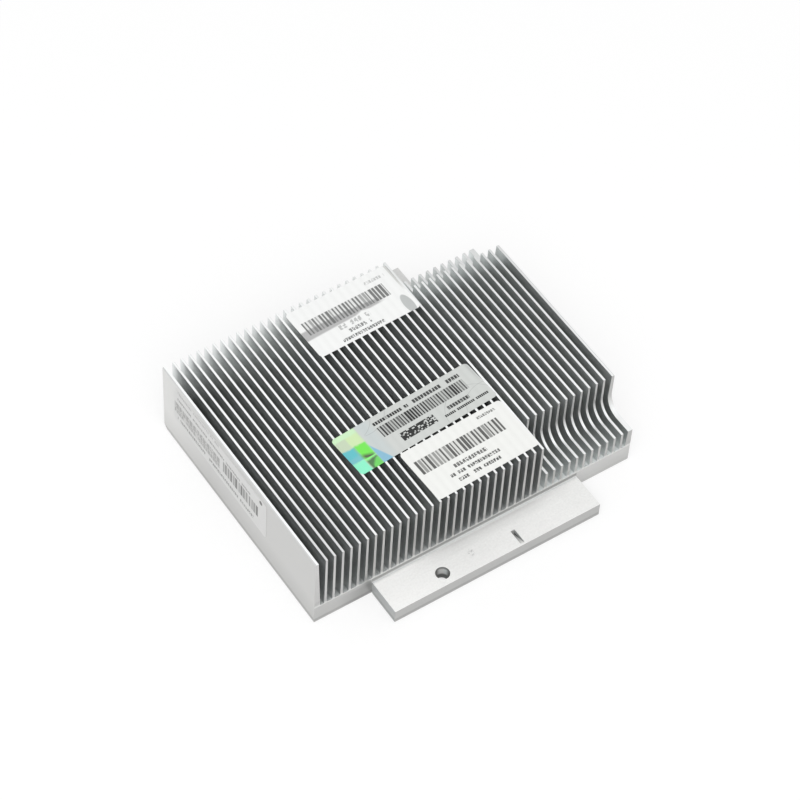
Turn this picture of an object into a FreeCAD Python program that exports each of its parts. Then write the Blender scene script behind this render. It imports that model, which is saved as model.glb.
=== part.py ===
import FreeCAD, Part
import math
import os
import Sketcher
from FreeCAD import Placement, Rotation, Vector

# Low finned heat sink for a server's processor. The frame has +X across the fins, +Y along them towards the
# rear and +Z up, with its origin on the underside, under the middle of the block.

# Driving sizes, in millimetres and degrees.
sizes = [
    # the block: a base plate with upright fins along Y and a thicker plate at each side
    ("blockHigh", 27.0, "underside to fin tips"),
    ("blockDeep", 79.5, "length of the fins"),
    ("baseThick", 7.2, "underside to the floor of the slots"),
    ("finCount", 39, "fins between the two outer plates"),
    ("finPitch", 2.613, "fin to fin"),
    ("finTip", 0.68, "thickness of a fin at its tip"),
    ("finRoot", 0.8, "thickness of a fin at its root"),
    ("slotRound", 0.35, "radius at the foot of a slot"),
    ("plateTip", 0.95, "thickness of an outer plate at its top"),
    ("plateRoot", 1.85, "thickness of an outer plate at its root"),
    ("endGap", 2.235, "opening beside an outer plate"),
    ("plateBevel", 0.3, "bevel along the top of an outer plate"),
    ("footRound", 0.4, "round along the edge of the underside"),
    ("heelBevel", 1.8, "bevel below the rear face"),
    # the lowered ends of the last fins, cut across them with a round-cornered cutter
    ("scoopFins", 11, "fins lowered beside the right plate"),
    ("frontScoop", 10.75, "front face to the wall of the cut"),
    ("rearScoop", 11.75, "rear face to the wall of the cut"),
    ("scoopDrop", 8.1, "fin tips to the start of the round"),
    ("scoopRound", 5.0, "radius between wall and floor"),
    # the flanges that carry the block on the board
    ("flangeWide", 68.9, "width of both flanges"),
    ("flangeDeep", 11.6, "reach beyond the block's face"),
    ("flangeThick", 5.1, "thickness of a flange"),
    ("guideBore", 4.2, "diameter of a guide hole"),
    ("guideSide", 16.3, "guide hole to the middle plane"),
    ("guideOut", 7.7, "guide hole to the block's face"),
    # the ramped nick in the front flange
    ("nickSide", 8.3, "nick to the middle plane"),
    ("nickOut", 6.1, "block's face to the deep end"),
    ("nickLong", 4.9, "length of the nick"),
    ("nickWide", 1.3, "width of the nick"),
    ("nickDeep", 1.5, "depth of its deep end"),
    # the stickers, each placed by its middle and turned about it
    ("labelThick", 0.1, "thickness of a sticker"),
    ("labelRound", 1.2, "corner radius of a sticker"),
    ("rearLabelLong", 34.5, "rear sticker, across the fins"),
    ("rearLabelWide", 18.5, "rear sticker, along the fins"),
    ("rearLabelSide", 3.35, "rear sticker to the middle plane"),
    ("rearLabelInset", 10.6, "rear sticker to the rear face"),
    ("rearLabelTurn", 1.8, "turn of the rear sticker"),
    ("sealLabelLong", 47.4, "seal, across the fins"),
    ("sealLabelWide", 14.4, "seal, along the fins"),
    ("sealLabelSide", -3.2, "seal to the middle plane"),
    ("sealGap", 0.35, "seal to the nearest corner of the front sticker"),
    ("sealLabelTurn", 4.15, "turn of the seal"),
    ("frontLabelLong", 34.5, "front sticker, across the fins"),
    ("frontLabelWide", 18.6, "front sticker, along the fins"),
    ("frontLabelSide", 3.6, "front sticker to the middle plane"),
    ("frontLabelInset", 10.6, "front sticker to the front face"),
    ("frontLabelTurn", 2.3, "turn of the front sticker"),
    ("sideLabelLong", 48.4, "side sticker, along the fins"),
    ("sideLabelWide", 14.4, "side sticker, upwards"),
    ("sideLabelInset", 30.6, "side sticker to the rear face"),
    ("sideLabelHigh", 17.7, "side sticker to the underside"),
    ("sideLabelTurn", 0.8, "turn of the side sticker"),
]

doc = FreeCAD.newDocument("heatsink")
sheet = doc.addObject("Spreadsheet::Sheet", "Sizes")
for row, (name, number, meaning) in enumerate(sizes, 1):
    sheet.set("A%d" % row, name)
    sheet.set("B%d" % row, str(number))
    sheet.setAlias("B%d" % row, name)
    sheet.set("C%d" % row, meaning)
doc.recompute()

# Lengths that follow from the driving sizes.
finSpan = "(Sizes.finCount - 1) * Sizes.finPitch"
blockWide = "(%s + Sizes.finTip + 2 * (Sizes.endGap + Sizes.plateTip))" % finSpan
faceOut = "Sizes.blockDeep / 2"
slotDepth = "(Sizes.blockHigh - Sizes.baseThick)"
finLean = "atan((Sizes.finRoot - Sizes.finTip) / 2 / %s)" % slotDepth
plateLean = "atan((Sizes.plateRoot - Sizes.plateTip) / %s)" % slotDepth


def value(expression):
    return float(sheet.evalExpression(expression))


def newBody(label):
    body = doc.addObject("PartDesign::Body", label)
    body.Label = label
    return body


def originPart(body, role):
    return [item for item in body.Origin.OriginFeatures if item.Role == role][0]


def newSketch(body, name, plane):
    sketch = body.newObject("Sketcher::SketchObject", name)
    sketch.AttachmentSupport = [(originPart(body, plane), "")]
    sketch.MapMode = "FlatFace"
    return sketch


def fix(sketch, *constraint):
    return sketch.addConstraint(Sketcher.Constraint(*constraint))


def dimension(sketch, name, expression, *constraint):
    number = value(expression)
    if constraint[0] == "Angle":
        number = math.radians(number)
    sketch.renameConstraint(fix(sketch, *constraint, number), name)
    sketch.setExpression("Constraints." + name, expression)


def addLines(sketch, points, closed=True):
    ends = points[1:] + points[:1] if closed else points[1:]
    for start, end in zip(points, ends):
        sketch.addGeometry(Part.LineSegment(Vector(*start, 0), Vector(*end, 0)))
    for line in range(len(ends) - 1):
        fix(sketch, "Coincident", line, 2, line + 1, 1)
    if closed:
        fix(sketch, "Coincident", len(ends) - 1, 2, 0, 1)


def addRectangle(sketch, wide, high, standing=False):
    # Centred on the sketch's origin, or standing on its horizontal axis.
    right = value(wide) / 2
    low = 0 if standing else -value(high) / 2
    top = low + value(high)
    addLines(sketch, [(-right, low), (right, low), (right, top), (-right, top)])
    for line in (0, 2):
        fix(sketch, "Horizontal", line)
    for line in (1, 3):
        fix(sketch, "Vertical", line)
    if standing:
        fix(sketch, "Symmetric", 0, 1, 0, 2, -1, 1)
    else:
        fix(sketch, "Symmetric", 0, 1, 1, 2, -1, 1)
    dimension(sketch, "wide", wide, "DistanceX", 0, 1, 0, 2)
    dimension(sketch, "high", high, "DistanceY", 1, 1, 1, 2)


def addPad(body, sketch, name, length):
    pad = body.newObject("PartDesign::Pad", name)
    pad.Profile = sketch
    pad.setExpression("Length", length)
    return pad


def addPocket(body, sketch, name):
    pocket = body.newObject("PartDesign::Pocket", name)
    pocket.Profile = sketch
    pocket.Type = "ThroughAll"
    cuts.append(pocket)
    return pocket


def addDressing(body, kind, name, wanted, measure, size):
    # A fillet or chamfer on the edges of the body so far whose bounding boxes are wanted.
    doc.recompute()
    base = body.Tip
    edges = ["Edge%d" % number for number, edge in enumerate(base.Shape.Edges, 1) if wanted(edge.BoundBox)]
    dressing = body.newObject("PartDesign::" + kind, name)
    dressing.Base = (base, edges)
    dressing.setExpression(measure, size)
    return dressing


def near(one, other):
    return abs(one - other) < 0.001


cuts = []

# The one-piece aluminium body.

sink = newBody("heatsink_body")
blockSketch = newSketch(sink, "blockSketch", "XZ_Plane")
addRectangle(blockSketch, blockWide, "Sizes.blockHigh", standing=True)
block = addPad(sink, blockSketch, "block", "Sizes.blockDeep")
block.SideType = "Symmetric"


def isHeelEdge(box):
    return box.ZMax < 0.001 and near(box.YMin, value(faceOut))


addDressing(sink, "Chamfer", "heelBevels", isHeelEdge, "Size", "Sizes.heelBevel")

flangeSketch = newSketch(sink, "flangeSketch", "XY_Plane")
addRectangle(flangeSketch, "Sizes.flangeWide", "Sizes.blockDeep + 2 * Sizes.flangeDeep")
addPad(sink, flangeSketch, "flanges", "Sizes.flangeThick")


def isPlateTop(box):
    return near(box.ZMin, value("Sizes.blockHigh")) and box.XLength < 0.001


def isFootEdge(box):
    onHeel = box.YLength < 0.001 and near(box.YMin, value(faceOut + " - Sizes.heelBevel"))
    return box.ZMax < 0.001 and not onHeel


addDressing(sink, "Chamfer", "plateBevels", isPlateTop, "Size", "Sizes.plateBevel")
addDressing(sink, "Fillet", "footRounds", isFootEdge, "Radius", "Sizes.footRound")


def addScoop(name, deep, side):
    # An upright wall, a round and a level floor, swept along X over the lowered fins.
    # side is -1 at the front face and 1 at the rear one.
    face = side * value(faceOut)
    wall = face - side * value(deep)
    top = value("Sizes.blockHigh")
    foot = top - value("Sizes.scoopDrop")
    radius = value("Sizes.scoopRound")
    middle = (wall + side * radius, foot)
    floorIn = (middle[0], foot - radius)
    floorOut = (face, floorIn[1])
    sketch = newSketch(sink, name + "Sketch", "YZ_Plane")
    sketch.setExpression("AttachmentOffset.Base.z", "(Sizes.finCount / 2 - Sizes.scoopFins) * Sizes.finPitch")
    addLines(sketch, [floorIn, floorOut, (face, top), (wall, top), (wall, foot)], closed=False)
    circle = Part.Circle(Vector(*middle, 0), Vector(0, 0, 1), radius)
    if side > 0:
        begin, end = math.pi, math.pi * 1.5
    else:
        begin, end = math.pi * 1.5, math.pi * 2
    sketch.addGeometry(Part.ArcOfCircle(circle, begin, end))
    wallEnd, floorEnd = (1, 2) if side > 0 else (2, 1)
    fix(sketch, "Tangent", 3, 2, 4, wallEnd)
    fix(sketch, "Tangent", 0, 1, 4, floorEnd)
    fix(sketch, "Horizontal", 0)
    fix(sketch, "Vertical", 1)
    fix(sketch, "Horizontal", 2)
    fix(sketch, "Vertical", 3)
    if side > 0:
        dimension(sketch, "face", faceOut, "DistanceX", -1, 1, 1, 2)
        dimension(sketch, "deep", deep, "DistanceX", 2, 2, 2, 1)
    else:
        dimension(sketch, "face", faceOut, "DistanceX", 1, 2, -1, 1)
        dimension(sketch, "deep", deep, "DistanceX", 2, 1, 2, 2)
    dimension(sketch, "top", "Sizes.blockHigh", "DistanceY", -1, 1, 1, 2)
    dimension(sketch, "drop", "Sizes.scoopDrop", "DistanceY", 3, 2, 3, 1)
    dimension(sketch, "round", "Sizes.scoopRound", "Radius", 4)
    addPocket(sink, sketch, name).Reversed = True


addScoop("frontScoop", "Sizes.frontScoop", -1)
addScoop("rearScoop", "Sizes.rearScoop", 1)


def addSlot(name, opening, middle, leftLean, rightLean):
    # A slot right through along Y: straight sides that lean together downwards, and a round-cornered floor.
    half = value(opening) / 2
    top = value("Sizes.blockHigh")
    floor = value("Sizes.baseThick")
    radius = value("Sizes.slotRound")
    feet, arcs = [], []
    for side, lean in ((-1, math.radians(value(leftLean))), (1, math.radians(value(rightLean)))):
        rise = radius * (1 - math.sin(lean))
        foot = half - (top - floor - rise) * math.tan(lean)
        flat = foot - radius * math.cos(lean)
        feet.append(((side * flat, floor), (side * foot, floor + rise)))
        begin, end = (math.pi + lean, math.pi * 1.5) if side < 0 else (math.pi * 1.5, math.pi * 2 - lean)
        circle = Part.Circle(Vector(side * flat, floor + radius, 0), Vector(0, 0, 1), radius)
        arcs.append(Part.ArcOfCircle(circle, begin, end))
    (leftFlat, leftFoot), (rightFlat, rightFoot) = feet
    sketch = newSketch(sink, name + "Sketch", "XZ_Plane")
    sketch.setExpression("AttachmentOffset.Base.x", middle)
    for start, end in (
        (leftFlat, rightFlat), (rightFoot, (half, top)), ((half, top), (-half, top)), ((-half, top), leftFoot)
    ):
        sketch.addGeometry(Part.LineSegment(Vector(*start, 0), Vector(*end, 0)))
    for arc in reversed(arcs):
        sketch.addGeometry(arc)
    fix(sketch, "Coincident", 1, 2, 2, 1)
    fix(sketch, "Coincident", 2, 2, 3, 1)
    fix(sketch, "Tangent", 0, 2, 4, 1)
    fix(sketch, "Tangent", 4, 2, 1, 1)
    fix(sketch, "Tangent", 3, 2, 5, 1)
    fix(sketch, "Tangent", 5, 2, 0, 1)
    fix(sketch, "Symmetric", 2, 1, 2, 2, -2)
    fix(sketch, "Horizontal", 0)
    fix(sketch, "Equal", 4, 5)
    dimension(sketch, "opening", opening, "DistanceX", 2, 2, 2, 1)
    dimension(sketch, "top", "Sizes.blockHigh", "DistanceY", -1, 1, 2, 1)
    dimension(sketch, "depth", slotDepth, "DistanceY", 0, 2, 2, 1)
    dimension(sketch, "round", "Sizes.slotRound", "Radius", 4)
    dimension(sketch, "rightLean", "90 deg - " + rightLean, "Angle", 1)
    dimension(sketch, "leftLean", leftLean + " - 90 deg", "Angle", 3)
    slot = addPocket(sink, sketch, name)
    slot.SideType = "Symmetric"
    return slot


slotOpening = "Sizes.finPitch - Sizes.finTip"
finSlot = addSlot("finSlot", slotOpening, "(1 - Sizes.finCount / 2) * Sizes.finPitch", finLean, finLean)
finSlots = sink.newObject("PartDesign::LinearPattern", "finSlots")
finSlots.Originals = [finSlot]
finSlots.Direction = (originPart(sink, "X_Axis"), [""])
finSlots.setExpression("Length", "(Sizes.finCount - 2) * Sizes.finPitch")
finSlots.setExpression("Occurrences", "Sizes.finCount - 1")
sink.Tip = finSlots
cuts.append(finSlots)

endMiddle = "-(%s + Sizes.finTip + Sizes.endGap) / 2" % finSpan
endSlot = addSlot("endSlot", "Sizes.endGap", endMiddle, plateLean, finLean)
endSlots = sink.newObject("PartDesign::Mirrored", "endSlots")
endSlots.Originals = [endSlot]
endSlots.MirrorPlane = (originPart(sink, "YZ_Plane"), [""])
sink.Tip = endSlots
cuts.append(endSlots)

# A guide hole in each flange, the rear one half a turn from the front one.
guideSketch = newSketch(sink, "guideSketch", "XY_Plane")
guideOut = "Sizes.guideOut + " + faceOut
for hole, side in enumerate((-1, 1)):
    middle = Vector(side * value("Sizes.guideSide"), side * value(guideOut), 0)
    guideSketch.addGeometry(Part.Circle(middle, Vector(0, 0, 1), value("Sizes.guideBore / 2")))
fix(guideSketch, "Symmetric", 0, 3, 1, 3, -1, 1)
fix(guideSketch, "Equal", 0, 1)
dimension(guideSketch, "bore", "Sizes.guideBore", "Diameter", 0)
dimension(guideSketch, "side", "Sizes.guideSide", "DistanceX", -1, 1, 1, 3)
dimension(guideSketch, "out", guideOut, "DistanceY", -1, 1, 1, 3)
addPocket(sink, guideSketch, "guideHoles").Reversed = True

# The nick: deep at its inner end, running out to the surface at its outer end.
nickSketch = newSketch(sink, "nickSketch", "YZ_Plane")
nickSketch.setExpression("AttachmentOffset.Base.z", "Sizes.nickSide")
nickIn = -value("Sizes.nickOut + " + faceOut)
nickTop = value("Sizes.flangeThick")
nickFoot = nickTop - value("Sizes.nickDeep")
addLines(nickSketch, [(nickIn, nickTop), (nickIn - value("Sizes.nickLong"), nickTop), (nickIn, nickFoot)])
fix(nickSketch, "Horizontal", 0)
fix(nickSketch, "Vertical", 2)
dimension(nickSketch, "top", "Sizes.flangeThick", "DistanceY", -1, 1, 0, 1)
dimension(nickSketch, "inner", "Sizes.nickOut + " + faceOut, "DistanceX", 0, 1, -1, 1)
dimension(nickSketch, "long", "Sizes.nickLong", "DistanceX", 0, 2, 0, 1)
dimension(nickSketch, "deep", "Sizes.nickDeep", "DistanceY", 2, 1, 2, 2)
nick = addPocket(sink, nickSketch, "nick")
nick.Type = "Length"
nick.SideType = "Symmetric"
nick.setExpression("Length", "Sizes.nickWide")

def isUpright(box):
    return box.XLength + box.YLength < 0.001


def isSideways(box):
    return box.YLength + box.ZLength < 0.001


def addLabel(name, plane, long, wide, place, axis, turn, isCorner, backwards=False):
    body = newBody(name)
    sketch = newSketch(body, name + "Sketch", plane)
    addRectangle(sketch, long, wide)
    addPad(body, sketch, name + "Pad", "Sizes.labelThick").Reversed = backwards
    addDressing(body, "Fillet", name + "Corners", isCorner, "Radius", "Sizes.labelRound")
    body.Placement = Placement(Vector(), Rotation(Vector(*axis), value(turn)))
    for letter, expression in zip("xyz", place):
        body.setExpression("Placement.Base." + letter, expression)
    body.setExpression("Placement.Rotation.Angle", turn)


# Three lie across the fin tips, and one on the outer face of the left plate. The seal's front edge passes the
# front sticker's rear left corner at the seal gap.
frontCorner = ("Sizes.frontLabelWide / 2 / cos(Sizes.frontLabelTurn * 1 deg)"
               " - Sizes.frontLabelLong / 2 * tan(Sizes.frontLabelTurn * 1 deg)")
sealReach = "Sizes.sealLabelWide / 2 / cos(Sizes.sealLabelTurn * 1 deg)"
sealAside = "(Sizes.frontLabelSide - Sizes.frontLabelLong / 2 - Sizes.sealLabelSide)"
sealInset = ("(Sizes.frontLabelInset + %s + Sizes.sealGap + %s - %s * tan(Sizes.sealLabelTurn * 1 deg))"
             % (frontCorner, sealReach, sealAside))
topLabels = [
    ("rear_label", "rearLabel", "(%s - Sizes.rearLabelInset)" % faceOut),
    ("seal_label", "sealLabel", "(%s - %s)" % (sealInset, faceOut)),
    ("front_label", "frontLabel", "(Sizes.frontLabelInset - %s)" % faceOut),
]
for name, key, along in topLabels:
    place = ("Sizes.%sSide" % key, along, "Sizes.blockHigh")
    addLabel(name, "XY_Plane", "Sizes.%sLong" % key, "Sizes.%sWide" % key, place, (0, 0, 1),
             "Sizes.%sTurn" % key, isUpright)
sidePlace = ("-%s / 2" % blockWide, "%s - Sizes.sideLabelInset" % faceOut, "Sizes.sideLabelHigh")
addLabel("side_label", "YZ_Plane", "Sizes.sideLabelLong", "Sizes.sideLabelWide", sidePlace, (1, 0, 0),
         "Sizes.sideLabelTurn", isSideways, backwards=True)

# Checks and files.

doc.recompute()
for item in doc.Objects:
    if "Invalid" in item.State or "Error" in item.State:
        raise RuntimeError("%s failed: %s" % (item.Name, item.State))
for cut in cuts:
    if cut.Shape.Volume > cut.BaseFeature.Shape.Volume - 0.1:
        raise RuntimeError(cut.Name + " removes nothing")
os.makedirs("parts", exist_ok=True)
for body in doc.findObjects("PartDesign::Body"):
    shape = body.Shape
    if shape.isNull() or not shape.isValid() or len(shape.Solids) != 1:
        raise RuntimeError(body.Label + " is not one valid solid")
    shape.exportStep("parts/%s.step" % body.Label)
    box = shape.BoundBox
    print("%-14s %10.1f mm3  x %.2f..%.2f  y %.2f..%.2f  z %.2f..%.2f" % (
        body.Label, shape.Volume, box.XMin, box.XMax, box.YMin, box.YMax, box.ZMin, box.ZMax))
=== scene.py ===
import math

import bpy
from mathutils import Euler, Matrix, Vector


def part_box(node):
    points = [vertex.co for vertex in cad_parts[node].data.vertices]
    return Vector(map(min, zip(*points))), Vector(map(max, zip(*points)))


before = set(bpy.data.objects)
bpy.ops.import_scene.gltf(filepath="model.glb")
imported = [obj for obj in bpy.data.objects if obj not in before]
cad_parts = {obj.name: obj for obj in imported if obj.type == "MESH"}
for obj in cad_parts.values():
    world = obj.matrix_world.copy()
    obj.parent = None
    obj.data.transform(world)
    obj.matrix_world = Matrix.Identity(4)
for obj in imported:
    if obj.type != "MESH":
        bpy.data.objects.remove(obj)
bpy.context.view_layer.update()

print("frame loaded:", sorted(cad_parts))

mm = 0.001


class Wire:
    # a value socket that takes part in plain arithmetic
    def __init__(self, paint, socket):
        self.paint = paint
        self.socket = socket

    def __add__(self, other):
        return self.paint.math("ADD", self, other)

    def __sub__(self, other):
        return self.paint.math("SUBTRACT", self, other)

    def __mul__(self, other):
        return self.paint.math("MULTIPLY", self, other)

    def __truediv__(self, other):
        return self.paint.math("DIVIDE", self, other)

    def __rsub__(self, other):
        return self.paint.math("SUBTRACT", other, self)

    def __rtruediv__(self, other):
        return self.paint.math("DIVIDE", other, self)

    def __neg__(self):
        return self.paint.math("MULTIPLY", self, -1.0)

    def __abs__(self):
        return self.paint.math("ABSOLUTE", self)

    __radd__ = __add__
    __rmul__ = __mul__


class Paint:
    # builds the nodes of one material, or of the world
    def __init__(self, owner):
        owner.use_nodes = True
        self.tree = owner.node_tree
        self.tree.nodes.clear()

    def node(self, kind, settings=None, inputs=None, output=0):
        # one node: its settings first, then its sockets; gives back one of its outputs
        made = self.tree.nodes.new(kind)
        for name, value in (settings or {}).items():
            setattr(made, name, value)
        for name, value in (inputs or {}).items():
            if isinstance(value, Wire):
                self.tree.links.new(value.socket, made.inputs[name])
            else:
                made.inputs[name].default_value = value
        return Wire(self, made.outputs[output]) if made.outputs else made

    def math(self, operation, *values, clamped=False):
        settings = {"operation": operation, "use_clamp": clamped}
        return self.node("ShaderNodeMath", settings, dict(enumerate(values)))

    def sized(self, place=(0, 0, 0), turn=(0, 0, 0)):
        # object coordinates in millimetres, about a place given in metres
        coords = self.node("ShaderNodeTexCoord", output="Object")
        inputs = {"Vector": coords, "Location": place, "Rotation": turn, "Scale": (mm, mm, mm)}
        return self.node("ShaderNodeMapping", {"vector_type": "TEXTURE"}, inputs)

    def stretched(self, vector, scale):
        return self.node("ShaderNodeMapping", {}, {"Vector": vector, "Scale": scale})

    def split(self, vector):
        apart = self.node("ShaderNodeSeparateXYZ", {}, {"Vector": vector})
        return [Wire(self, socket) for socket in apart.socket.node.outputs]

    def join(self, x, y, z=0.0):
        return self.node("ShaderNodeCombineXYZ", {}, {"X": x, "Y": y, "Z": z})

    def edge(self, value, at, soft):
        # 0 below, 1 above, with a ramp of width soft between
        return self.math("ADD", (value - at) / soft, 0.5, clamped=True)

    def band(self, value, low, high, soft):
        return self.edge(value, low, soft) * (1 - self.edge(value, high, soft))

    def patch(self, u, v, left, right, low, high, soft):
        return self.band(u, left, right, soft) * self.band(v, low, high, soft)

    def hill(self, value, at, half):
        # 1 at one value, falling evenly to 0 at half to either side
        return self.math("SUBTRACT", 1.0, abs(value - at) / half, clamped=True)

    def disc(self, u, v, atU, atV, halfU, halfV, soft):
        # 1 inside an ellipse
        across, along = (u - atU) / halfU, (v - atV) / halfV
        reach = self.math("SQRT", across * across + along * along)
        return 1 - self.edge(reach, 1.0, soft)

    def either(self, first, second):
        return self.math("MAXIMUM", first, second)

    def blend(self, share, first, second):
        # the mix of two numbers
        return first + share * (second - first)

    def floor(self, value):
        return self.math("FLOOR", value)

    def fraction(self, value):
        return self.math("FRACT", value)

    def noise(self, vector, scale, detail=3.0, roughness=0.55):
        inputs = {"Vector": vector, "Scale": scale, "Detail": detail, "Roughness": roughness}
        return self.node("ShaderNodeTexNoise", {}, inputs)

    def chance(self, u, v=0.0, seed=0.0):
        # a random number from 0 to 1 for each whole-number cell
        cell = self.join(self.floor(u), self.floor(v), seed)
        return self.node("ShaderNodeTexWhiteNoise", {}, {"Vector": cell})

    def mix(self, share, first, second):
        # the mix of two colours
        settings = {"data_type": "RGBA", "clamp_factor": True}
        return self.node("ShaderNodeMix", settings, {0: share, 6: first, 7: second}, output=2)

    def bump(self, height, distance, strength=1.0):
        inputs = {"Height": height, "Distance": distance, "Strength": strength}
        return self.node("ShaderNodeBump", {}, inputs)

    def close(self, surface, kind="ShaderNodeOutputMaterial"):
        self.node(kind, {}, {"Surface": surface})

    def principled(self, inputs):
        self.close(self.node("ShaderNodeBsdfPrincipled", {}, inputs))


def light(level):
    # a screen grey from 0 to 255, as the share of light that it stands for
    part = level / 255
    return part / 12.92 if part <= 0.04045 else ((part + 0.055) / 1.055) ** 2.4


def colour(red, green, blue):
    return (light(red), light(green), light(blue), 1.0)


# The bare aluminium body: places in millimetres, levels as screen greys.
metal = {
    "fins": {"first": -49.65, "pitch": 2.613, "end": 52.0},
    "face": 39.75,            # the block's front and rear faces
    "plateSkin": 52.6,        # a side further out than this is a plate's outer face
    "flangeStart": 40.4,
    "flangeHalf": 34.5,
    "loweredStart": 20.9,
    "slotFloorTop": 7.5,
    "finEndStart": 7.65,
    "stepBand": (5.5, 6.55),
    "lipBand": (6.75, 7.6),
    "tip": 252,
    "wall": 217,
    "wallTop": 229,
    "wallRear": 218,
    # the next two levels are painted light in the slots
    "wallOpen": 238,
    "wallEnd": 250,
    # painted light at the slots' mouth
    "mouth": 255,
    "slotFloor": 205,
    "finEnd": 205,
    "plate": 206,
    # painted light towards the plates' rear
    "plateRear": 223,
    # painted shade on the bevels
    "bevel": 200,
    "base": 203,
    # painted shade on the step over the flange, and a painted highlight on the lip
    "step": 152,
    "lip": 218,
    "flange": 249,
    # painted shade on the flange's front edge
    "flangeEdge": 184,
    "under": 205,
    "holes": [(-16.3, -47.45), (16.3, 47.45)],
    "holeRadius": 2.1,
    "holeReach": 2.4,
    "litSide": (0.6, 0.8),
    "scuff": (-5.7, -45.75, 0.9, 1.3),
    "nick": {"side": 8.3, "deepEnd": -45.85, "long": 4.9, "half": 0.65},
    "tint": (1.0, 1.0, 0.985, 1.0),
    "tipTint": (0.985, 1.0, 0.997, 1.0),
    "wallTint": (0.97, 1.0, 0.995, 1.0),
}


def finCount(x):
    # a number that rises by one from fin to fin, with its fraction a half at each fin's middle
    fins = metal["fins"]
    return (x - fins["first"]) / fins["pitch"] + 0.5


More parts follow.
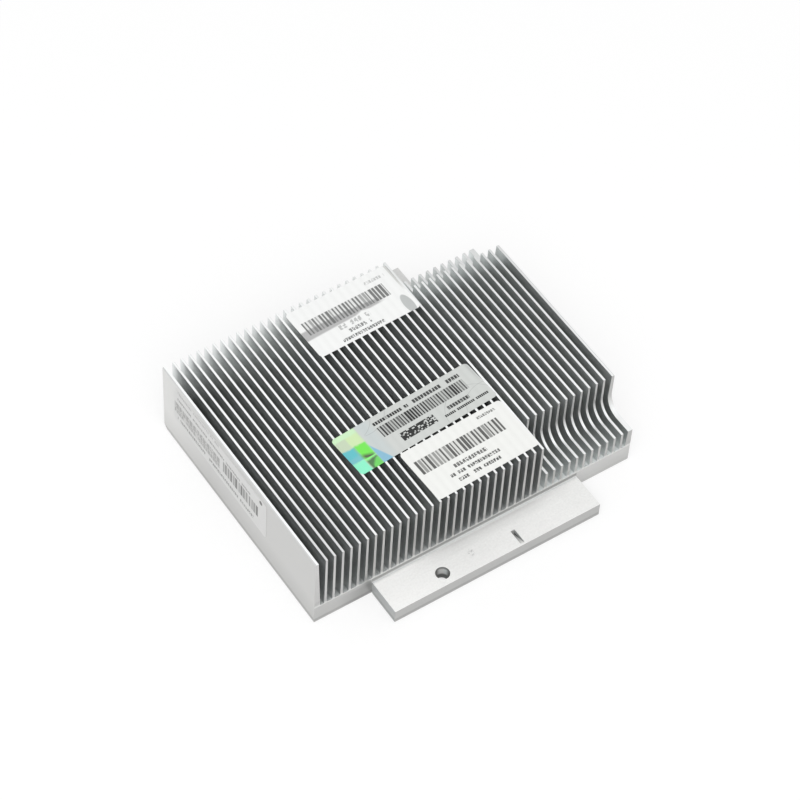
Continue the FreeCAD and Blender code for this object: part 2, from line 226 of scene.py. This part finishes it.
def metalMaterial(value):
    material = bpy.data.materials.new("milledAluminium")
    paint = Paint(material)
    place = paint.sized()
    x, y, z = paint.split(place)
    nx, _, nz = paint.split(paint.node("ShaderNodeTexCoord", output="Normal"))
    upward = paint.edge(nz, 0.5, 0.7)
    sideways = paint.edge(abs(nx), 0.7, 0.1)
    outer = paint.edge(abs(x), value["plateSkin"], 0.1)
    onFins = 1 - paint.edge(abs(x), value["fins"]["end"], 0.1)
    onFlange = paint.edge(abs(y), value["flangeStart"], 0.6)
    lowered = paint.edge(x, value["loweredStart"], 0.6)
    farLeft = paint.edge(-x, 38.0, 10.0)
    # the fins by number, and how far a point is from the middle of its fin
    count = finCount(x)
    aside = abs(paint.fraction(count) - 0.5) * value["fins"]["pitch"]
    finLuck = paint.chance(count, 0.0, 3.0)
    slow = paint.noise(place, 0.06, 2.0)
    grain = paint.noise(place, 1.6, 3.0, 0.7)

    # tips: milled bright, with painted shade at their two edges as if rounded, darker towards two corners,
    # and varying from fin to fin
    tip = light(value["tip"]) * (1 - 0.1 * finLuck * paint.edge(slow, 0.45, 0.2) * onFins)
    tip = tip * (1 - 0.5 * paint.edge(aside, 0.3, 0.08) * paint.edge(-x, -12.0, 30.0) * onFins)
    tip = tip * (1 - 0.27 * paint.edge(x / 40 + y / 60, 1.0, 1.3))
    tip = tip * (1 - 0.2 * farLeft * paint.edge(-y, 18.0, 20.0) * onFins)
    # walls: dull as extruded, a little lighter towards the tips but with painted shade just under them,
    # darker towards the left rear, and with painted light at their rear ends and in the lowered slots
    shadeUnderTip = paint.hill(z, 26.9, 1.9) * (1 - lowered)
    towardsTip = paint.edge(z, 23.5, 3.0)
    wall = paint.blend(towardsTip, light(value["wall"]), light(value["wallTop"]))
    wall = paint.blend(paint.edge(y, 36.0, 10.0), wall, light(value["wallRear"]))
    wall = wall * (1 - 0.3 * paint.edge(-x, 39.0, 8.0) * paint.edge(y, 24.0, 12.0))
    wall = paint.blend(lowered * paint.edge(-y, 30.0, 8.0), wall, light(value["wallOpen"]))
    wall = wall * (1 - 0.35 * shadeUnderTip) * (0.8 + 0.4 * grain)
    rearEnd = paint.either(paint.edge(y, 37.9, 2.4), 0.7 * lowered * paint.edge(y, 31.0, 5.0))
    wall = paint.blend(rearEnd, wall, light(value["wallEnd"]))
    # the plates outside: painted shade towards the foot, painted light towards the rear
    plate = paint.blend(paint.edge(y, 26.0, 22.0), light(value["plate"]), light(value["plateRear"]))
    plate = plate * (1 - 0.14 * (1 - paint.edge(z, 5.5, 9.0)))
    sides = paint.blend(outer, wall, plate)
    # the ends: fins' ends above, the block's own end below
    finEnd = light(value["finEnd"]) * (0.84 + 0.32 * (slow - 0.5))
    finEnd = finEnd * (1 - 0.1 * paint.hill(z, 8.6, 1.2)) * (1 + 0.16 * farLeft)
    # the block's end: painted shade towards its foot, and lighter to the right
    base = light(value["base"]) * (0.86 + 0.08 * paint.edge(z, 4.5, 5.0) + 0.2 * (slow - 0.5))
    # painted shade in the corner beside the flange
    besideFlange = paint.band(-x, 32.0, 42.0, 8.0)
    base = base * (1 - 0.25 * besideFlange * (1 - paint.edge(z, 6.0, 2.0)))
    base = base * (1 + 0.06 * paint.edge(x, 30.0, 10.0))
    # painted shade on the step over the flange, and a painted highlight along the lip above it
    overFlange = paint.band(z, *value["stepBand"], 0.3) * (1 - paint.edge(abs(x), value["flangeHalf"], 0.2))
    base = paint.blend(overFlange, base, light(value["step"]))
    base = paint.blend(paint.band(z, *value["lipBand"], 0.2), base, light(value["lip"]))
    ends = paint.blend(paint.edge(z, value["finEndStart"], 0.3), base, finEnd)
    # painted shade on the flange's front edge
    flangeEdge = light(value["flangeEdge"]) * (0.9 + 0.2 * slow)
    upright = paint.blend(sideways, ends, sides)
    upright = paint.blend(onFlange, upright, flangeEdge)
    # painted shade in a band along the foot of the upright faces, weaker towards the right
    upright = upright * (1 - (0.28 - 0.2 * paint.edge(x, 36.0, 2.0)) * paint.hill(z, 1.2, 0.8))
    # tops: the slots' floor has painted light only at its mouth
    mouthReach = paint.blend(lowered, 1.4, 4.5)
    mouth = paint.math("SUBTRACT", 1.0, (value["face"] - abs(y)) / mouthReach, clamped=True)
    slotFloor = paint.blend(mouth, light(value["slotFloor"]), light(value["mouth"]))
    # flange tops: mottled, darker beside the block along its middle, with a painted highlight at the
    # block's foot, scuffed between hole and nick, and with painted shade at the rear
    out = abs(y) - value["face"]
    middle = paint.band(x, -16.0, 24.0, 16.0)
    nearBlockDip = 0.1 * paint.hill(out, 1.1, 1.0) + 0.17 * (1 - paint.edge(out, 3.0, 3.5))
    lines = paint.noise(paint.stretched(place, (0.04, 2.2, 1.0)), 1.0, 2.0)
    flange = light(value["flange"]) * (1 - middle * nearBlockDip)
    # painted highlight in a strip at the foot of the block
    flange = flange * (1 + 0.65 * (1 - paint.edge(out, 0.2, 0.9)))
    flange = flange * (0.97 + 0.07 * paint.edge(-x, 18.0, 20.0) - 0.045 * paint.edge(x, 18.0, 20.0))
    flange = flange * (0.78 + 0.26 * grain + 0.12 * slow + 0.06 * lines)
    # painted shade on the rear flange, behind the block
    flange = flange * (1 - 0.2 * paint.edge(y, 0.0, 1.0))
    scuff = paint.disc(x, y, *value["scuff"], 0.5) * paint.edge(paint.noise(place, 2.5), 0.52, 0.1)
    flange = flange * (1 - 0.3 * scuff)
    tops = paint.blend(paint.edge(z, value["slotFloorTop"], 0.1), slotFloor, tip)
    tops = paint.blend(onFlange, tops, flange)
    # the guide holes carry painted shade but for a patch of painted light on their far wall, and the nick
    # has painted shade at its deep end and its two edges
    reach, (litX, litY) = value["holeReach"], value["litSide"]
    for atX, atY in value["holes"]:
        inside = paint.disc(x, y, atX, atY, reach, reach, 0.05) * onFlange
        facing = ((x - atX) * litX + (y - atY) * litY) / value["holeRadius"]
        litWall = paint.edge(facing, 0.78, 0.25) * paint.band(z, 1.9, 4.2, 0.7)
        upright = upright * (1 - inside * (0.45 - 1.3 * litWall))
    nick = value["nick"]
    across = abs(x - nick["side"]) / nick["half"]
    along = (nick["deepEnd"] - y) / nick["long"]
    nickShade = 0.5 * (1 - paint.edge(along, 0.55, 0.7)) + 0.4 * paint.edge(across, 0.6, 0.4) + 0.15
    inside = (1 - paint.edge(across, 1.0, 0.2)) * paint.band(along, 0.0, 0.95, 0.1)
    tops = tops * (1 - nickShade * inside)
    level = paint.blend(upward, upright, tops)
    # painted shade on the plates' outer bevels
    bevelled = paint.band(abs(nx), 0.4, 0.95, 0.05) * outer * upward
    level = paint.blend(bevelled, level, light(value["bevel"]))
    level = paint.blend(paint.edge(-nz, 0.7, 0.1), level, light(value["under"]))
    # extruded walls mirror their surroundings, and the milled flanges hardly do
    inSlots = sideways * (1 - outer) * (1 - onFlange)
    metallic = 0.9 - 0.85 * onFlange - inSlots * (0.01 + 0.08 * towardsTip + 0.5 * rearEnd)
    roughness = 0.42 - 0.1 * inSlots + 0.15 * onFlange
    tint = paint.mix(upward * (1 - onFlange), value["tint"], value["tipTint"])
    tint = paint.mix(sideways * (1 - outer), tint, value["wallTint"])
    shade = paint.mix(level, (0, 0, 0, 1), tint)
    paint.principled({"Base Color": shade, "Metallic": metallic, "Roughness": roughness})
    return material


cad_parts["heatsink_body"].material_slots[0].material = metalMaterial(metal)
print("body painted")


# The stickers: u runs along each one and v across it, in millimetres from its middle.
# bars give left, right, low, high, share of ink and step, and words the first five.
# heavy thickens the words, and tints are the colours of what is not print, painted shade among them.
stickers = {
    "rear_label": {
        "turn": (0, 0, 1.8),
        "film": (247, 248, 247),
        "ink": (104, 106, 105),
        "heavy": 0.03,
        "roughness": 0.5,
        "bars": [(-15.3, 12.6, -1.0, 4.0, 0.95, 1.15)],
        "words": [(-8.6, 5.6, -8.3, -7.2, 1.0), (-5.0, 2.4, -6.2, -4.9, 0.85), (-7.0, 3.6, -4.1, -2.4, 0.5),
                  (8.2, 15.0, 5.8, 6.9, 0.45)],
        "tints": {"smear": (182, 182, 182), "oval": (190, 193, 192), "dull": (204, 205, 202)},
        "seed": 11,
    },
    "seal_label": {
        "turn": (0, 0, 4.15),
        "film": (210, 213, 210),
        "ink": (24, 26, 25),
        "heavy": 0.24,
        "roughness": 0.28,
        "bars": [(-10.8, 19.0, -0.45, 3.3, 1.1, 0.93)],
        "words": [(-10.9, 1.2, 4.2, 5.3, 1.0), (3.0, 19.2, 4.2, 5.5, 0.95), (8.6, 17.0, -3.3, -2.1, 0.95),
                  (7.2, 22.4, -5.0, -4.2, 1.0)],
        "tints": {
            "olive": (84, 84, 72),
            "corner": (110, 212, 98),
            "pale": (192, 204, 206),
            "wedge": (138, 188, 212),
            "arcs": (120, 122, 121),
            "fold": (170, 173, 171),
        },
        "seed": 23,
    },
    "front_label": {
        "turn": (0, 0, 2.3),
        "film": (243, 244, 241),
        "ink": (70, 71, 69),
        "heavy": 0.12,
        "roughness": 0.5,
        "bars": [(-15.6, 12.7, -0.1, 4.85, 0.95, 1.2)],
        "words": [(-7.0, 4.0, -3.0, -1.7, 0.9), (-9.8, 7.1, -5.2, -4.1, 0.95), (-8.5, 5.5, -7.4, -6.3, 1.0),
                  (8.0, 14.2, 7.0, 7.9, 0.8)],
        "seed": 37,
    },
    "side_label": {
        "turn": (0.8, 0, 0),
        "film": (220, 220, 219),
        "ink": (110, 110, 109),
        "heavy": 0.1,
        "roughness": 0.45,
        "bars": [(-20.0, -1.8, -2.1, 2.4, 1.0, 1.35)],
        "words": [(-16.0, 22.5, 3.1, 4.1, 0.7), (0.5, 22.5, 6.0, 7.0, 0.45), (-18.0, 22.5, -5.5, -4.3, 0.8),
                  (0.0, 24.0, -1.0, 1.4, 0.5), (0.0, 24.0, -3.0, -1.3, 0.5)],
        "tints": {"block": (186, 186, 184), "spot": (100, 100, 99)},
        "seed": 53,
    },
}
# the folds' loss is painted shade, the clouds' loss the film's own tone
foldShade = 10       # grey levels that a film loses in its clouds and folds
rowSeedStep = 10.0   # keeps the random marks of each row apart
wordSeedShift = 3.0


def barRow(paint, u, v, box, seed):
    # one upright bar to each step, of random width and strength, on a faint ground
    left, right, low, high, share, pitch = box
    step = (u - left) / pitch
    wide = 0.3 + 0.5 * paint.chance(step, 0.0, seed)
    strong = 0.72 + 0.28 * paint.edge(paint.chance(step, 1.0, seed), 0.35, 0.02)
    bar = strong * (1 - paint.edge(paint.fraction(step), wide, 0.08))
    return paint.either(bar, 0.2) * paint.patch(u, v, left, right, low, high, 0.15) * share


def wordRow(paint, u, v, box, seed, heavy):
    # made-up marks: each is three columns of four spots, then a gap, and some places stay empty
    left, right, low, high, share = box
    tall = high - low
    column = (u - left) / (0.19 * tall)
    spot = paint.edge(paint.chance(column, (v - low) * (4 / tall), seed), 0.27 - heavy, 0.02)
    stroke = 1 - paint.edge(paint.fraction(column / 4), 0.78, 0.02)
    used = paint.edge(paint.chance(column / 4, 0.0, seed + 1), 0.1, 0.02)
    return spot * stroke * used * paint.patch(u, v, left, right, low, high, 0.1) * share


def rearMarks(paint, u, v, film, value):
    # a grey band across the bars, an oval stain, and painted shade along the film's right edge
    low = -1.95 + 0.03 * u + 0.6 * paint.hill(u, 2.0, 2.5)
    high = 0.9 - 0.09 * paint.either(u, -2.0)
    smear = paint.edge(v, low, 0.6) * (1 - paint.edge(v, high, 0.6)) * (1 - paint.edge(u, 9.0, 3.0))
    film = paint.mix(smear, film, colour(*value["tints"]["smear"]))
    oval = paint.disc(u, v, 14.8, -6.6, 1.5, 3.9, 0.12)
    film = paint.mix(oval, film, colour(*value["tints"]["oval"]))
    dull = paint.edge(u, 16.6, 0.3) * paint.edge(v, 0.0, 4.0)
    return paint.mix(dull, film, colour(*value["tints"]["dull"]))


# Fields of the seal's foil: left, right, low, high and colour.
foil = [
    (-24.5, -16.1, -8.0, 8.0, (198, 214, 186)),
    (-20.2, -16.1, 1.6, 8.0, (208, 233, 180)),
    (-24.5, -16.1, 5.4, 8.0, (205, 239, 196)),
    (-24.5, -20.0, -3.2, 1.7, (96, 192, 200)),
    (-24.5, -20.0, -3.0, -1.2, (118, 192, 200)),
    (-24.5, -20.0, -8.0, -3.2, (142, 242, 202)),
    (-20.4, -19.6, -3.0, 1.6, (122, 192, 176)),
    (-19.8, -16.1, -3.4, 1.7, (118, 232, 84)),
    (-19.8, -16.1, -4.1, -3.2, (140, 248, 133)),
    (-19.8, -16.1, -8.0, -4.0, (80, 124, 79)),
]
# Cut hairlines of the seal: the middle of each arc.
arcMiddles = [(-18.0, 12.0), (-13.0, 12.0), (16.0, -8.0), (22.0, -10.0)]
arcRadius = 9.2


def sealMarks(paint, u, v, film, value):
    # coloured foil at the left end, a pale blue wedge beside it, a block of square spots, cut hairlines,
    # and painted shade across the right end
    cloud = paint.noise(paint.join(u, v), 0.5, 2.0)
    wavy = 1.2 * (cloud - 0.5)
    for left, right, low, high, tint in foil:
        field = paint.patch(u + wavy * 0.3, v + wavy, left, right, low, high, 0.6)
        film = paint.mix(field, film, colour(*tint))
    tints = value["tints"]
    olive = paint.patch(u, v + 0.4 * u, -19.7, -16.2, -11.0, -9.6, 1.2) * (1 - paint.edge(v, -0.6, 1.0))
    film = paint.mix(olive * paint.edge(v, -3.4, 0.3), film, colour(*tints["olive"]))
    corner = paint.edge(u - v, -12.6, 1.0) * paint.band(v, -8.0, -4.4, 0.5)
    film = paint.mix(corner * paint.band(u, -19.0, -16.1, 0.4), film, colour(*tints["corner"]))
    pale = paint.patch(u, v, -15.8, -11.5, -8.0, 8.0, 2.0)
    film = paint.mix(0.5 * pale, film, colour(*tints["pale"]))
    wedge = paint.edge(u, -16.1, 0.3) * (1 - paint.edge(u + 0.44 * v, -16.1, 0.4))
    film = paint.mix(wedge * (1 - paint.edge(v, 0.0, 1.0)), film, colour(*tints["wedge"]))
    spots = paint.edge(paint.chance((u + 7.1) / 0.42, (v + 4.75) / 0.41, 71.0), 0.28, 0.02)
    spots = spots * paint.patch(u, v, -7.1, 4.7, -4.75, -1.85, 0.1)
    film = paint.mix(spots, film, colour(*value["ink"]))
    lines = 0.0
    for atU, atV in arcMiddles:
        across, along = u - atU, v - atV
        reach = paint.math("SQRT", across * across + along * along)
        lines = lines + paint.hill(reach, arcRadius, 0.12)
    film = paint.mix(0.4 * lines * paint.edge(u, -15.0, 0.5), film, colour(*tints["arcs"]))
    fold = paint.hill(u, 23.2, 0.8) * paint.edge(v, 1.0, 4.0)
    return paint.mix(0.45 * fold, film, colour(*tints["fold"]))


def sideMarks(paint, u, v, film, value):
    # a grey block behind the print, and one round spot
    block = paint.patch(u, v, 0.0, 24.0, -3.1, 1.5, 0.6)
    film = paint.mix(0.5 * block, film, colour(*value["tints"]["block"]))
    spot = paint.disc(u, v, -21.4, 6.0, 0.7, 0.8, 0.3)
    return paint.mix(spot, film, colour(*value["tints"]["spot"]))


marks = {"rear_label": rearMarks, "seal_label": sealMarks, "side_label": sideMarks}


def stickerMaterial(name, value):
    low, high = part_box(name)
    material = bpy.data.materials.new(name + "_film")
    paint = Paint(material)
    turn = tuple(math.radians(angle) for angle in value["turn"])
    across, along, through = paint.split(paint.sized((low + high) / 2, turn))
    u, v = (along, through) if name == "side_label" else (across, along)
    # a film across the fins sags a little between them, with painted shade in the sags besides the bump
    sag = 0.0
    if name != "side_label":
        count = finCount(paint.split(paint.sized())[0])
        sag = paint.edge(abs(paint.fraction(count) - 0.5), 0.3, 0.35)
    cloud = paint.noise(paint.join(u, v), 0.4, 3.0)
    shaded = colour(*(level - foldShade for level in value["film"]))
    film = paint.mix(0.5 * cloud + 0.35 * sag, colour(*value["film"]), shaded)
    if name in marks:
        film = marks[name](paint, u, v, film, value)
    inked = 0.0
    for number, box in enumerate(value["bars"]):
        inked = inked + barRow(paint, u, v, box, value["seed"] + rowSeedStep * number)
    for number, box in enumerate(value["words"]):
        seed = value["seed"] + wordSeedShift + rowSeedStep * number
        inked = inked + wordRow(paint, u, v, box, seed, value["heavy"])
    film = paint.mix(inked, film, colour(*value["ink"]))
    relief = paint.bump(0.6 * cloud - sag, 0.0001, 0.5)
    paint.principled({"Base Color": film, "Roughness": value["roughness"], "Normal": relief})
    return material


for name, value in stickers.items():
    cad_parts[name].material_slots[0].material = stickerMaterial(name, value)
print("stickers painted")


# Floor, light and camera.
studio = {
    "floorHalf": 8.0,
    "floorDrop": 0.0001,   # keeps the floor clear of the flat underside
    "floorColour": 0.8,
    "floorShade": 0.4,     # how much of the floor's own light and shadow the camera sees
    "floorWhite": 1.01,    # what a lit floor comes to, a little past white
    "skyLevel": 0.75,
    "lampPlace": (-0.45, -0.6, 0.95),
    "lampSide": 0.9,
    "lampPower": 6.0,
}


def seenDirectly(paint):
    # 1 for what the camera, a reflection or a see-through part looks at, 0 for light that falls on things
    rays = [paint.node("ShaderNodeLightPath", output=name)
            for name in ("Is Camera Ray", "Is Glossy Ray", "Is Transmission Ray")]
    return paint.math("ADD", rays[0] + rays[1], rays[2], clamped=True)


def floorMaterial(value):
    # a pale matt floor, lifted to white where it is looked at, with its shadows kept
    material = bpy.data.materials.new("paleFloor")
    paint = Paint(material)
    shade = value["floorShade"]
    matt = paint.node("ShaderNodeBsdfDiffuse", {}, {"Color": (value["floorColour"],) * 3 + (1.0,)})
    faint = paint.node("ShaderNodeBsdfDiffuse", {}, {"Color": (shade,) * 3 + (1.0,)})
    lift = paint.node("ShaderNodeEmission", {}, {"Strength": value["floorWhite"] - shade})
    both = paint.node("ShaderNodeAddShader", {}, {0: faint, 1: lift})
    paint.close(paint.node("ShaderNodeMixShader", {}, {0: seenDirectly(paint), 1: matt, 2: both}))
    return material


half, drop = studio["floorHalf"], -studio["floorDrop"]
corners = [(-half, -half, drop), (half, -half, drop), (half, half, drop), (-half, half, drop)]
floorMesh = bpy.data.meshes.new("floor")
floorMesh.from_pydata(corners, [], [(0, 1, 2, 3)])
floorMesh.materials.append(floorMaterial(studio))
floor = bpy.data.objects.new("floor", floorMesh)
bpy.context.scene.collection.objects.link(floor)

world = bpy.data.worlds.new("studio")
paint = Paint(world)
level = paint.blend(seenDirectly(paint), studio["skyLevel"], 1.0)
sky = paint.node("ShaderNodeBackground", {}, {"Color": (1, 1, 1, 1), "Strength": level})
paint.close(sky, "ShaderNodeOutputWorld")
bpy.context.scene.world = world

lamp = bpy.data.objects.new("softLamp", bpy.data.lights.new("softLamp", "AREA"))
lamp.data.size = studio["lampSide"]
lamp.data.energy = studio["lampPower"]
lamp.location = studio["lampPlace"]
lamp.rotation_euler = lamp.location.to_track_quat("Z", "Y").to_euler()
bpy.context.scene.collection.objects.link(lamp)

view = {
    "place": (-0.300083, -0.403978, 0.65614),
    "turn": (38.2737, -2.42045, -33.57885),
    "lens": 130.0467,
    "sensor": 36.0,
    "nearest": 0.01,
}
camera = bpy.data.objects.new("camera", bpy.data.cameras.new("camera"))
camera.location = view["place"]
camera.rotation_euler = Euler([math.radians(angle) for angle in view["turn"]])
camera.data.lens = view["lens"]
camera.data.sensor_width = view["sensor"]
camera.data.clip_start = view["nearest"]
bpy.context.scene.collection.objects.link(camera)
bpy.context.scene.camera = camera
bpy.context.scene.view_settings.view_transform = "Standard"
print("studio ready")
